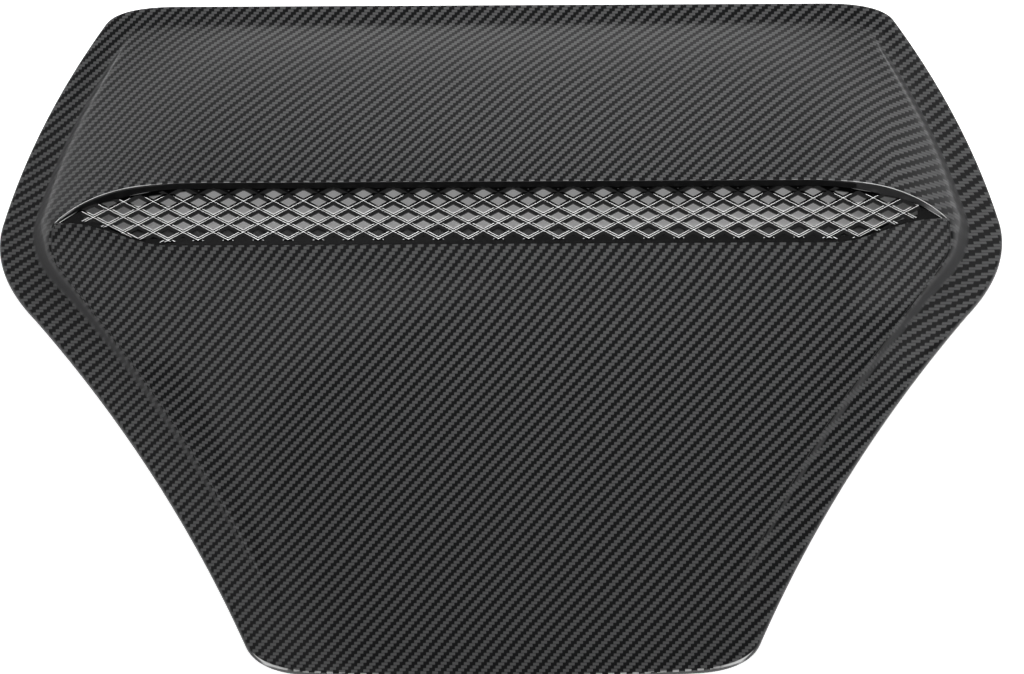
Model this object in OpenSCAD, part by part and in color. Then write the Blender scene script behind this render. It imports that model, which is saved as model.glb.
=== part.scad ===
// Stick-on bonnet vent: a thin moulded cover with a leaf-shaped mouth,
// and a diamond mesh insert glued behind the mouth.
// The cover stands on z = 0, its flange flat on the bonnet. The mouth faces -Y.

/* [Cover] */
// Overall width across the widest corners
cover_w = 500; // [460:5:540]
// Overall depth from the front edge to the back edge
cover_d = 404; // [380:4:420]
// Height of the roof at its lip, on the centre line
roof_h = 34; // [32:1:38]
// Thickness of the moulded wall and of the flange
wall_t = 3; // [2.5:0.5:3]
// Radius of the flange's outer edge
edge_r = 1.6; // [1:0.2:1.8]

/* [Mouth] */
// Place of the lip, measured from the middle of the depth
lip_y = 65.5; // [63:0.5:68]
// Place of the sill, the panel's edge under the mesh
sill_y = 40; // [38:0.5:42]
// Height of the sill on the centre line
sill_h = 16.5; // [16:0.5:18]
// Half width of the mouth, from its middle to a tip
mouth_half_w = 221; // [216:1:222]
// Depth of the wall that turns down from the lip, in the middle
lip_turn = 5.4; // [5:0.2:6.6]
// Depth of that wall near both ends, where it comes down to the mesh
lip_turn_end = 8.5; // [7:0.5:9]
// Thickness of that turned-down wall
lip_t = 2.6; // [2:0.2:3]

/* [Mesh insert] */
// Width of one diamond, strand to strand
diamond_w = 14.9; // [12:0.1:18]
// Height of one diamond, along the mesh
diamond_h = 8; // [6.5:0.1:9]
// Slope of the mesh from the sill up to the roof
mesh_slope = 20; // [18:1:20]
// Width of a strand at its foot
strand_w = 2.9; // [2:0.1:3.4]
// Width of the flat on top of a strand
strand_top_w = 1; // [0.8:0.1:1.8]
// Thickness of the mesh
mesh_t = 2.2; // [1.6:0.1:2.6]

/* [Hidden] */

// Guide points of the cover's right half, front centre to back centre:
// every second one lies on the outline, those between steer its curves.
GUIDE_W = 500;
GUIDE_D = 404;
GUIDE = [
    [0, -202], [49, -202], [91, -199], [115.7, -197.7], [121.8, -183],
    [162.7, -82.7], [230, 6.2], [254.9, 36], [248.5, 64.3], [235.5, 127.8],
    [202.7, 190], [196.9, 202], [166.4, 202], [83, 202], [0, 202]
];
// Columns of the loft on each stretch of the outline
STEPS = [7, 5, 14, 10, 10, 6, 7];
// Column numbers where one stretch ends and the next begins
BOTTOM_CORNER = 12;
WIDEST_CORNER = 26;
TIP = 34;
UPPER_SIDE = 36;
TOP_CORNER = 46;
BACK_EDGE = 52;
LAST = 59;

// Width of the flange, column by column
FLANGE_W = [
    [0, 19], [BOTTOM_CORNER, 18.5], [WIDEST_CORNER, 20], [TIP, 17.2], [UPPER_SIDE, 16],
    [TOP_CORNER, 14.5], [BACK_EDGE, 13.6], [LAST, 13.6]
];
// Width of the wall between flange and crest, along the front sides
CREST_RUN = [[0, 1], [BOTTOM_CORNER, 1], [19, 2], [WIDEST_CORNER, 3.2], [30, 5.5], [32, 8], [TIP, 11]];
// Where each column meets the edge of the mouth, as a share of its half width
MOUTH_SHARE = [
    [0, 0], [7, 0.35], [BOTTOM_CORNER, 0.49], [WIDEST_CORNER, 0.925], [30, 0.965], [TIP, 0.993],
    [UPPER_SIDE, 0.965], [TOP_CORNER, 0.78], [BACK_EDGE, 0.64], [LAST, 0]
];

RISE_N = 9;
PANEL_N = 9;
UNDER_RISE_N = 6;
UNDER_PANEL_N = 5;

// Height fields
back_y = cover_d / 2;
front_y = -cover_d / 2;
tip_y = 52.5;
base_back_y = back_y - 14.6;
crest_end_y = -165;
panel_power = 6;
arch_power = 2.4;
arch_tilt = 12.5;
side_run = 85;
side_drop = 0.729;
wall_run = 14;
step_h = 0.8;
inner_shift = 1.7;
inner_drop = wall_t + 0.1;

function scaled(p) = [p[0] * cover_w / GUIDE_W, p[1] * cover_d / GUIDE_D];
function mix(a, b, s) = a * (1 - s) + b * s;
function unit_share(s) = min(1, max(0, s));
function smooth(s) = let (c = unit_share(s)) c * c * (3 - 2 * c);
function bow(a, b, c, s) = a * (1 - s) * (1 - s) + b * 2 * s * (1 - s) + c * s * s;
function bow_way(a, b, c, s) = (b - a) * (1 - s) + (c - b) * s;
function unit2(v) = v / norm(v);
function inward(v) = unit2([-v[1], v[0]]);

// Outline point and inward direction of every column of the right half
COLUMNS = [
    for (k = [0 : len(STEPS) - 1])
        let (a = scaled(GUIDE[2 * k]), b = scaled(GUIDE[2 * k + 1]), c = scaled(GUIDE[2 * k + 2]))
            for (i = [0 : STEPS[k] - 1])
                let (s = i / STEPS[k])
                    [bow(a, b, c, s), inward(bow_way(a, b, c, s))],
    [scaled(GUIDE[14]), [0, -1]]
];

// The mouth: its lower edge is the sill, its upper edge the lip
function sill_line(x) = sill_y + (tip_y - sill_y) * smooth((abs(x) - 165) / 52);
function lip_line(x) =
    lip_y - (lip_y - tip_y) * pow(unit_share((abs(x) - 170) / (mouth_half_w - 170)), 2.8);
function lip_depth(x) = mix(lip_turn, lip_turn_end, smooth((abs(x) - 160) / 45));

// Front panel: a ramp that climbs to the sill, with flanks that lift to the crest
function ramp_z(y) =
    wall_t + (sill_h - wall_t) * pow(max(0, y - front_y) / (sill_y - front_y), panel_power);
function crest_h(y) = 0.027 * max(0, y - crest_end_y) + 9.5 * pow(max(0, y + 60) / 110, 4);
function foot_z(y) = wall_t + crest_h(y) - min(step_h, 0.2 * crest_h(y));
function flank_in(y) = 177 + 0.37 * (y - 38);
function flank_out(y) =
    min(222, 151.4 + 0.537 * (y + 75.5) + 0.000926 * pow(y + 75.5, 2));
function flank_share(x, y) =
    unit_share((abs(x) - flank_in(y)) / (flank_out(y) - flank_in(y)));
function flank_lift(s) = (s + smooth(s)) / 2;
function panel_z(p) =
    mix(ramp_z(p[1]), foot_z(p[1]), flank_lift(flank_share(p[0], p[1])));

// Roof: an arch from the back edge to the lip that falls away to both sides
function arch_h(y) =
    let (u = (y - lip_y) / (base_back_y - lip_y))
        roof_h - wall_t - arch_tilt * u
            - (roof_h - wall_t - arch_tilt) * sign(u) * pow(abs(u), arch_power);
function base_x(y) =
    234.5 - 0.27 * max(0, y - 60) - 8 * pow(max(0, y - 60) / 120, 2);
function roof_z(p) =
    let (s = max(0, (abs(p[0]) - base_x(p[1]) + side_run) / side_run))
        wall_t + arch_h(p[1]) * (1 - side_drop * pow(min(1.2, s), 2.2));

// Plane of the mesh's top face
mesh_z0 = 11.7;
function mesh_z(y) = mesh_z0 + (y - sill_y) * tan(mesh_slope);

function lift(p, z) = [p[0], p[1], z];

// One closed section of the cover, from the flange's outer foot over the top
// to the edge of the mouth and back underneath
function section(c) =
    let (
        o = COLUMNS[c][0],
        n = COLUMNS[c][1],
        flange = lookup(c, FLANGE_W),
        run = lookup(c, CREST_RUN),
        base = o + n * flange,
        upper = c > TIP,
        near_tip = smooth((c - 30) / 4),
        mouth_x = mouth_half_w * lookup(c, MOUTH_SHARE),
        tip = [mouth_half_w, tip_y],
        lip = [mouth_x, lip_line(mouth_x)],
        sill = [mouth_x, sill_line(mouth_x)],
        crest = upper ? lip : mix(base + n * run, tip, near_tip),
        rise = norm(crest - base),
        way = unit2(crest - base),
        crest_z = upper
            ? roof_z(lip)
            : mix(wall_t + crest_h(crest[1]), roof_z(crest), near_tip),
        low_z = function (d) wall_t + (crest_z - wall_t) * (d / rise) * (1 + 0.9 * (1 - d / rise)),
        high_z = function (d)
            roof_z(base + way * d) - (roof_z(base) - wall_t) * pow(1 - unit_share(d / wall_run), 3),
        over_z = function (d) upper
            ? high_z(max(0, d))
            : mix(low_z(max(0, d)), high_z(max(0, d)), near_tip),
        round_d = min(1, rise / 8),
        shift_in = mix(inner_shift, -1.2, near_tip),
        foot_in = upper ? lip - way * lip_t : crest + way * shift_in,
        turn_z = max(roof_z(lip) - lip_depth(mouth_x), mesh_z(foot_in[1]) + 0.1),
        foot = upper ? lip : crest + way * 0.5,
        foot_top = upper ? mix(crest_z, turn_z, 0.25) : foot_z(foot[1]),
        edge = upper ? lip - way * 0.2 : sill,
        edge_z = upper ? turn_z : panel_z(sill),
        ceiling = high_z(rise - lip_t - inner_shift) - inner_drop
    )
    concat(
        // outer edge of the flange
        [
            lift(o, 0),
            lift(o, wall_t - edge_r),
            lift(o + n * edge_r * 0.3, wall_t - edge_r * 0.3),
            lift(o + n * edge_r, wall_t),
            lift(o + n * flange / 2, wall_t),
            lift(base - way * 0.2, wall_t)
        ],
        // wall and roof, up to the crest or the lip
        [
            for (i = [1 : RISE_N])
                let (d = (rise - round_d) * pow(i / RISE_N, 1.35))
                    lift(base + way * d, over_z(d))
        ],
        [lift(crest, crest_z - min(round_d * 0.5, 0.3 * (crest_z - foot_top)))],
        // panel up to the sill, or the lip's turned-down wall
        [
            for (i = [0 : PANEL_N - 1])
                let (s = 1 - pow(1 - i / PANEL_N, 1.4), p = mix(foot, edge, s))
                    lift(p, upper ? mix(foot_top, turn_z, s) : panel_z(p))
        ],
        [
            lift(edge, edge_z - (upper ? 0 : 0.6)),
            lift(edge, upper ? turn_z - 0.02 : mesh_z(sill[1]) + 0.1)
        ],
        // underneath
        [
            for (i = [0 : UNDER_PANEL_N])
                let (s = i / UNDER_PANEL_N)
                    upper
                        ? lift(foot_in, mix(turn_z - 0.02, max(turn_z + 0.3, ceiling), s))
                        : let (p = mix(sill, foot_in, 0.01 + 0.99 * pow(s, 1.4)))
                            lift(p, max(0, i == 0 ? mesh_z(sill[1]) + 0.1 : panel_z(p) - inner_drop))
        ],
        [
            for (i = [UNDER_RISE_N : -1 : 1])
                let (
                    s = i / (UNDER_RISE_N + 1),
                    d = inner_shift + (rise - lip_t - 2 * inner_shift) * s,
                    low = mix([inner_shift, 0], [rise + shift_in, foot_z(crest[1]) - inner_drop], s)
                )
                    upper
                        ? lift(base + way * d, max(0, high_z(d - inner_shift) - inner_drop))
                        : lift(base + way * low[0], max(0, low[1]))
        ],
        [lift(base + way * inner_shift, 0)]
    );

function mirrored(points) = [for (p = points) [-p[0], p[1], p[2]]];

// Closed ring of sections around the mouth, skinned with triangles
module vent_cover() {
    right = [for (c = [0 : LAST]) section(c)];
    ring = concat(right, [for (c = [LAST - 1 : -1 : 1]) mirrored(right[c])]);
    columns = len(ring);
    rows = len(ring[0]);
    points = [for (s = ring) for (p = s) p];
    function id(c, r) = (c % columns) * rows + r % rows;
    faces = [
        for (c = [0 : columns - 1])
            for (r = [0 : rows - 1])
                for (t = [
                    [id(c, r), id(c, r + 1), id(c + 1, r)],
                    [id(c + 1, r), id(c, r + 1), id(c + 1, r + 1)]
                ])
                    t
    ];
    color([0.16, 0.16, 0.17])
        polyhedron(points, faces, convexity = 10);
}

// Mesh insert, drawn flat and then tilted to its slope. Its strands stand out
// on a lower border, which frames the window and is glued behind the mouth.
insert_half_w = 219;
window_half_w = 207;
mesh_rise = along(lip_y) + lip_t + 4;
// Place of one crossing of two strands, from the middle of the sill
crossing = [6.25, 1.2];
bevel = 0.8;
border_t = 1.6;
ledge_half_w = 176;
ledge_front = -5.5;
ledge_back = 11.8;
ledge_t = 1.2;
upstand_half_w = 160;
upstand_t = 2;
upstand_lean = 2.1;
upstand_top = roof_h - wall_t - 1.4;
function along(y) = (y - sill_y) / cos(mesh_slope);
function end_share(x) = smooth((abs(x) - 150) / 36);
function tip_share(x) = smooth((abs(x) - 204) / 10);

// Plan of the insert: the mouth's shape, grown past the sill and past the lip,
// each by one amount in the middle and by another at both ends
function insert_plan(low, high, half) =
    let (
        xs = [for (i = [-28 : 28]) half * i / 28],
        low_side = [for (x = xs) [x, along(sill_line(x)) - mix(low[0], low[1], end_share(x))]],
        high_side = [
            for (x = xs)
                let (grow = mix(mix(high[0], high[1], end_share(x)), 0.2, tip_share(x)))
                    [x, along(lip_line(x)) + grow]
        ]
    )
        concat(low_side, [for (i = [len(high_side) - 1 : -1 : 0]) high_side[i]]);

module strand(side) {
    turn = atan(diamond_h / diamond_w);
    foot = strand_w / 2;
    top = strand_top_w / 2;
    rotate([0, 0, side * turn])
        rotate([90, 0, 90])
            linear_extrude(height = 2 * mesh_rise / sin(turn), center = true)
                polygon([
                    [-foot, -mesh_t], [foot, -mesh_t], [foot, -bevel],
                    [top, 0], [-top, 0], [-foot, -bevel]
                ]);
}

module lattice() {
    count = ceil(window_half_w / diamond_w + mesh_rise / diamond_h);
    for (i = [-count : count])
        for (side = [-1, 1])
            translate([crossing[0] + i * diamond_w, crossing[1], 0])
                strand(side);
}

module border() {
    translate([0, 0, -bevel - border_t])
        linear_extrude(height = border_t)
            difference() {
                polygon(insert_plan([6, -0.4], [lip_t + 6, 2], insert_half_w));
                polygon(insert_plan([-7.2, -5], [lip_t + 2.5, 0.7], window_half_w));
            }
}

// Ledge behind the lowest row of diamonds, along the straight part of the sill
module ledge() {
    translate([-ledge_half_w, ledge_front, 0.1 - mesh_t - ledge_t])
        cube([2 * ledge_half_w, ledge_back - ledge_front, ledge_t]);
}

// Upstand of the insert, glued to the back of the lip's turned-down wall
module upstand() {
    front = lip_y + lip_t + 0.1;
    foot = front + upstand_lean;
    low = mesh_z(foot) - mesh_t * 0.7;
    translate([-upstand_half_w, 0, 0])
        rotate([90, 0, 90])
            linear_extrude(height = 2 * upstand_half_w)
                polygon([
                    [foot, low], [foot + upstand_t, low],
                    [front + upstand_t, upstand_top], [front, upstand_top]
                ]);
}

module mesh_insert() {
    color([0.05, 0.05, 0.05]) {
        upstand();
        translate([0, sill_y, mesh_z0])
            rotate([mesh_slope, 0, 0]) {
                intersection() {
                    lattice();
                    translate([0, 0, -mesh_t - 1])
                        linear_extrude(height = mesh_t + 2)
                            polygon(insert_plan([-4.8, -3.4], [lip_t + 3.5, 1.4], window_half_w + 1));
                }
                border();
                ledge();
            }
    }
}

vent_cover();
mesh_insert();
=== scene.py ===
"""Bonnet vent: a thin moulded cover in a woven film under gloss, with a black diamond mesh in its mouth."""

import math
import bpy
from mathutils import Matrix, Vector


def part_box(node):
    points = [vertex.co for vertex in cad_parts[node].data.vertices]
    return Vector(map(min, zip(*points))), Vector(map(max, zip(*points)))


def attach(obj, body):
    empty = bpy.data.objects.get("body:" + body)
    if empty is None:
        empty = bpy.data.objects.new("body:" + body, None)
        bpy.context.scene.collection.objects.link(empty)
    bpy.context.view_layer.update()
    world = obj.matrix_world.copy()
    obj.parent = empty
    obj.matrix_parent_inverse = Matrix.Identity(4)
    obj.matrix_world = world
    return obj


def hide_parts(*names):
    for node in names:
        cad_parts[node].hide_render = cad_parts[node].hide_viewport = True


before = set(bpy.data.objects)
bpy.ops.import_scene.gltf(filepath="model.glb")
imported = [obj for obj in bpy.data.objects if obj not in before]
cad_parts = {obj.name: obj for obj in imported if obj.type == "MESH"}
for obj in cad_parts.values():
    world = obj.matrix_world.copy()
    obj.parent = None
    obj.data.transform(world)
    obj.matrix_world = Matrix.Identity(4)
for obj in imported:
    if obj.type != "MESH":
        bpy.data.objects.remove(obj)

from types import SimpleNamespace

import bmesh
import bpy
import numpy as np
from bpy.props import FloatProperty, FloatVectorProperty, PointerProperty
from mathutils import Matrix, Vector

bl_info = {
    "name": "Bonnet vent",
    "version": (1, 0, 0),
    "blender": (4, 5, 0),
    "location": "View3D > Sidebar > Vent",
    "description": "Builds the looks of a stick-on bonnet vent around its packed frame",
    "category": "Object",
}

MM = 0.001
BODY = "root"
for name in ("Cube", "Light", "Camera"):
    if name in bpy.data.objects:
        bpy.data.objects.remove(bpy.data.objects[name])
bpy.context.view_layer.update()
COVER_LOW, COVER_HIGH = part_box("vent_cover")


# Sizes and colours

class CoverSettings(bpy.types.PropertyGroup):
    width: FloatProperty(
        name="Width", description="Width of the cover across its widest corners",
        default=COVER_HIGH.x - COVER_LOW.x, unit="LENGTH",
    )
    depth: FloatProperty(
        name="Depth", description="Depth of the cover from its front edge to its back edge",
        default=COVER_HIGH.y - COVER_LOW.y, unit="LENGTH",
    )
    roof: FloatProperty(
        name="Roof height", description="Height of the roof at its lip", default=0.034, unit="LENGTH",
    )
    wall: FloatProperty(
        name="Wall", description="Thickness of the moulded wall", default=0.003, unit="LENGTH",
    )
    edge_radius: FloatProperty(
        name="Edge radius", description="Radius of the flange's outer edge", default=0.0016, unit="LENGTH",
    )
    lip_y: FloatProperty(
        name="Lip", description="Place of the lip along the depth", default=0.0655, unit="LENGTH",
    )
    sill_y: FloatProperty(
        name="Sill", description="Place of the sill along the depth", default=0.04, unit="LENGTH",
    )
    sill_h: FloatProperty(
        name="Sill height", description="Height of the sill on the centre line",
        default=0.0165, unit="LENGTH",
    )
    mouth_half: FloatProperty(
        name="Mouth half width", description="Half width of the mouth", default=0.221, unit="LENGTH",
    )
    lip_turn: FloatProperty(
        name="Lip turn", description="Depth of the wall that turns down from the lip, in the middle",
        default=0.0054, unit="LENGTH",
    )
    lip_turn_end: FloatProperty(
        name="Lip turn at the ends", description="Depth of that wall near both ends",
        default=0.0085, unit="LENGTH",
    )
    lip_wall: FloatProperty(
        name="Lip wall", description="Thickness of the turned-down wall", default=0.0026, unit="LENGTH",
    )


class FilmSettings(bpy.types.PropertyGroup):
    tow_x: FloatProperty(
        name="Tow width X", description="Width of a tow that runs along the depth",
        default=0.00139, unit="LENGTH",
    )
    tow_y: FloatProperty(
        name="Tow width Y", description="Width of a tow that runs across the cover",
        default=0.001725, unit="LENGTH",
    )
    light: FloatVectorProperty(
        name="Light tow", description="Colour of the tows that lie across the cover",
        subtype="COLOR", size=3, default=(0.12, 0.12, 0.122), min=0, max=1,
    )
    dark: FloatVectorProperty(
        name="Dark tow", description="Colour of the tows that run along the depth",
        subtype="COLOR", size=3, default=(0.005, 0.005, 0.0055), min=0, max=1,
    )


class MeshSettings(bpy.types.PropertyGroup):
    diamond_w: FloatProperty(
        name="Diamond width", description="Width of one diamond", default=0.0149, unit="LENGTH",
    )
    diamond_h: FloatProperty(
        name="Diamond height", description="Height of one diamond along the mesh",
        default=0.008, unit="LENGTH",
    )
    crossing_x: FloatProperty(
        name="Crossing X", description="Place of one crossing of two strands across the mesh",
        default=0.00625, unit="LENGTH",
    )
    crossing_v: FloatProperty(
        name="Crossing V", description="Its place up from the sill", default=0.0012, unit="LENGTH",
    )
    slope: FloatProperty(
        name="Slope", description="Slope of the mesh", default=math.radians(20), subtype="ANGLE",
    )
    strand_w: FloatProperty(
        name="Strand", description="Width of a strand at its foot", default=0.0029, unit="LENGTH",
    )
    thickness: FloatProperty(
        name="Thickness", description="Thickness of the mesh", default=0.0022, unit="LENGTH",
    )
    black: FloatVectorProperty(
        name="Black", description="Colour of the mesh and of the bare moulding",
        subtype="COLOR", size=3, default=(0.005, 0.005, 0.0053), min=0, max=1,
    )


class StageSettings(bpy.types.PropertyGroup):
    elevation: FloatProperty(
        name="Elevation", description="Camera's angle above the horizon",
        default=math.radians(55), subtype="ANGLE",
    )
    distance: FloatProperty(
        name="Distance", description="Distance from the camera to the origin",
        default=2.6, unit="LENGTH",
    )
    roll: FloatProperty(
        name="Roll", description="Camera's roll", default=math.radians(0.3), subtype="ANGLE",
    )
    lens: FloatProperty(
        name="Lens", description="Focal length on a 36 mm sensor", default=185.4, unit="CAMERA",
    )


def in_mm(settings):
    """The settings with their lengths in mm, which is the unit of all shapes below."""
    values = {}
    for key in type(settings).__annotations__:
        value = getattr(settings, key)
        is_length = settings.bl_rna.properties[key].unit == "LENGTH"
        values[key] = round(value / MM, 4) if is_length else value
    return SimpleNamespace(**values)


# Outline of the cover's right half, front centre to back centre, for a cover of this width and
# depth. Every second guide point lies on the outline, and those between steer its curves.
GUIDE_SIZE = np.array((499.616, 404))
GUIDE = np.array([
    (0, -202), (49, -202), (91, -199), (115.7, -197.7), (121.8, -183),
    (162.7, -82.7), (230, 6.2), (254.9, 36), (248.5, 64.3), (235.5, 127.8),
    (202.7, 190), (196.9, 202), (166.4, 202), (83, 202), (0, 202),
])
# Columns of the tables on each stretch of the outline, and where each stretch starts
STEPS = np.array([7, 5, 14, 10, 10, 6, 7])
STARTS = np.concatenate(([0], np.cumsum(STEPS)))
_, FRONT_END, BOTTOM_CORNER, WIDEST_CORNER, UPPER_SIDE, TOP_CORNER, BACK_EDGE, LAST = STARTS
# The column that meets the mouth's tip
TIP = 34
# Columns of the loft for each column of the tables
FINE = 5

# Width of the flange, by column
FLANGE_W = [
    (0, 19), (BOTTOM_CORNER, 18.5), (WIDEST_CORNER, 20), (TIP, 17.2), (UPPER_SIDE, 16),
    (TOP_CORNER, 14.5), (BACK_EDGE, 13.6), (LAST, 13.6),
]
# Width of the wall between the flange and the crest, along the front sides
CREST_RUN = [(0, 1), (BOTTOM_CORNER, 1), (19, 2), (WIDEST_CORNER, 3.2), (30, 5.5), (32, 8), (TIP, 11)]
# Where each column meets the edge of the mouth, as a share of its half width
MOUTH_SHARE = [
    (0, 0), (FRONT_END, 0.35), (BOTTOM_CORNER, 0.49), (WIDEST_CORNER, 0.925), (30, 0.965), (TIP, 0.993),
    (UPPER_SIDE, 0.965), (TOP_CORNER, 0.78), (BACK_EDGE, 0.64), (LAST, 0),
]
# Place of the mouth's tips along the depth
TIP_Y = 52.5
# Height of the mesh's top at the sill
MESH_Z0 = 11.7
# Gap that glue fills
GLUE_GAP = 0.1
# The film wraps round the lip only to the right of this place
FILM_END = 177
# The front panel's crest seen from above: its half width at CREST_Y, and how it widens from there
CREST_X, CREST_Y, CREST_SLANT, CREST_BEND, CREST_MOST = 151.4, -75.5, 0.537, 0.000926, 222


def share(s):
    return np.clip(s, 0, 1)


def smooth(s):
    c = share(s)
    return c * c * (3 - 2 * c)


def mix(a, b, s):
    return a * (1 - s) + b * s


def unit(v):
    return v / np.linalg.norm(v, axis=-1, keepdims=True)


def table(t, pairs):
    keys, values = zip(*pairs)
    return np.interp(t, keys, values)


def outline_at(t, size):
    """Outline points and inward directions at the column numbers t, for a width and a depth."""
    guide = GUIDE * (np.array(size) / GUIDE_SIZE)
    k = np.clip(np.searchsorted(STARTS, t, side="right") - 1, 0, len(STEPS) - 1)
    s = ((t - STARTS[k]) / STEPS[k])[:, None]
    a, b, c = guide[2 * k], guide[2 * k + 1], guide[2 * k + 2]
    point = a * (1 - s) ** 2 + b * 2 * s * (1 - s) + c * s ** 2
    way = unit((b - a) * (1 - s) + (c - b) * s)
    return point, np.stack((-way[:, 1], way[:, 0]), axis=1)


class CoverForm:
    """The cover's heights over its plan, in mm."""

    # Half widths of the straight middles of the sill and the lip, and how both bend to the tips
    SILL_MIDDLE, SILL_BEND = 165, 52
    LIP_MIDDLE, LIP_POWER = 170, 2.8
    # Where the wall that turns down from the lip starts to deepen, and over what width
    TURN_MIDDLE, TURN_RUN = 160, 45
    # How late the panel curls up to the sill
    PANEL_POWER = 6
    # The crest's even rise from its front end, and its swell from a place on
    CREST_END_Y, CREST_RISE = -165, 0.027
    SWELL_Y, SWELL_RUN, SWELL_H, SWELL_POWER = -60, 110, 9.5, 4
    # The step down from the crest to the panel's foot
    STEP_H, STEP_SHARE = 0.8, 0.2
    # The line where the panel starts to rise to its foot
    FLANK_X, FLANK_Y, FLANK_SLANT = 177, 38, 0.37
    # How much the roof falls evenly to the back, and how late it curls down there
    ARCH_TILT, ARCH_POWER = 12.5, 2.4
    # The roof's sides: where they reach the flange, and how they fall to it
    SIDE_X, SIDE_Y, SIDE_SLANT, SIDE_BEND, SIDE_BEND_RUN = 234.5, 60, 0.27, 8, 120
    SIDE_RUN, SIDE_DROP, SIDE_POWER, SIDE_MOST = 85, 0.729, 2.2, 1.2
    # Width of the flange behind the roof's arch
    BACK_FLANGE = 14.6

    def __init__(self, cover):
        self.cover = cover
        self.front = -cover.depth / 2
        self.back = cover.depth / 2 - self.BACK_FLANGE

    def sill_line(self, x):
        bend = smooth((abs(x) - self.SILL_MIDDLE) / self.SILL_BEND)
        return self.cover.sill_y + (TIP_Y - self.cover.sill_y) * bend

    def lip_line(self, x):
        bend = share((abs(x) - self.LIP_MIDDLE) / (self.cover.mouth_half - self.LIP_MIDDLE))
        return self.cover.lip_y - (self.cover.lip_y - TIP_Y) * bend ** self.LIP_POWER

    def lip_depth(self, x):
        near_end = smooth((abs(x) - self.TURN_MIDDLE) / self.TURN_RUN)
        return mix(self.cover.lip_turn, self.cover.lip_turn_end, near_end)

    def ramp(self, y):
        run = np.maximum(0, y - self.front) / (self.cover.sill_y - self.front)
        return self.cover.wall + (self.cover.sill_h - self.cover.wall) * run ** self.PANEL_POWER

    def crest(self, y):
        swell = (np.maximum(0, y - self.SWELL_Y) / self.SWELL_RUN) ** self.SWELL_POWER
        return self.CREST_RISE * np.maximum(0, y - self.CREST_END_Y) + self.SWELL_H * swell

    def foot(self, y):
        high = self.crest(y)
        return self.cover.wall + high - np.minimum(self.STEP_H, self.STEP_SHARE * high)

    def flank(self, x, y):
        """Share of the way up from the panel's even middle to its foot."""
        inner = self.FLANK_X + self.FLANK_SLANT * (y - self.FLANK_Y)
        ahead = y - CREST_Y
        outer = np.minimum(CREST_MOST, CREST_X + CREST_SLANT * ahead + CREST_BEND * ahead ** 2)
        return share((abs(x) - inner) / (outer - inner))

    def panel(self, p):
        x, y = p[..., 0], p[..., 1]
        s = self.flank(x, y)
        return mix(self.ramp(y), self.foot(y), (s + smooth(s)) / 2)

    def arch(self, y):
        """Height of the roof over the flange on the centre line."""
        u = (y - self.cover.lip_y) / (self.back - self.cover.lip_y)
        top = self.cover.roof - self.cover.wall
        curl = np.sign(u) * abs(u) ** self.ARCH_POWER
        return top - self.ARCH_TILT * u - (top - self.ARCH_TILT) * curl

    def roof(self, p):
        x, y = p[..., 0], p[..., 1]
        past = np.maximum(0, y - self.SIDE_Y)
        base_x = self.SIDE_X - self.SIDE_SLANT * past - self.SIDE_BEND * (past / self.SIDE_BEND_RUN) ** 2
        s = np.maximum(0, (abs(x) - base_x + self.SIDE_RUN) / self.SIDE_RUN)
        fall = self.SIDE_DROP * np.minimum(self.SIDE_MOST, s) ** self.SIDE_POWER
        return self.cover.wall + self.arch(y) * (1 - fall)


def lift(p, z):
    return np.concatenate((p, np.broadcast_to(z, p.shape[:1])[:, None]), axis=1)


def corner(a, b, c, count):
    """Points on the curve that rounds the corner b between a and c."""
    return [
        a * (1 - s) ** 2 + b * 2 * s * (1 - s) + c * s ** 2
        for s in np.linspace(0, 1, count + 2)[1:-1]
    ]


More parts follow.
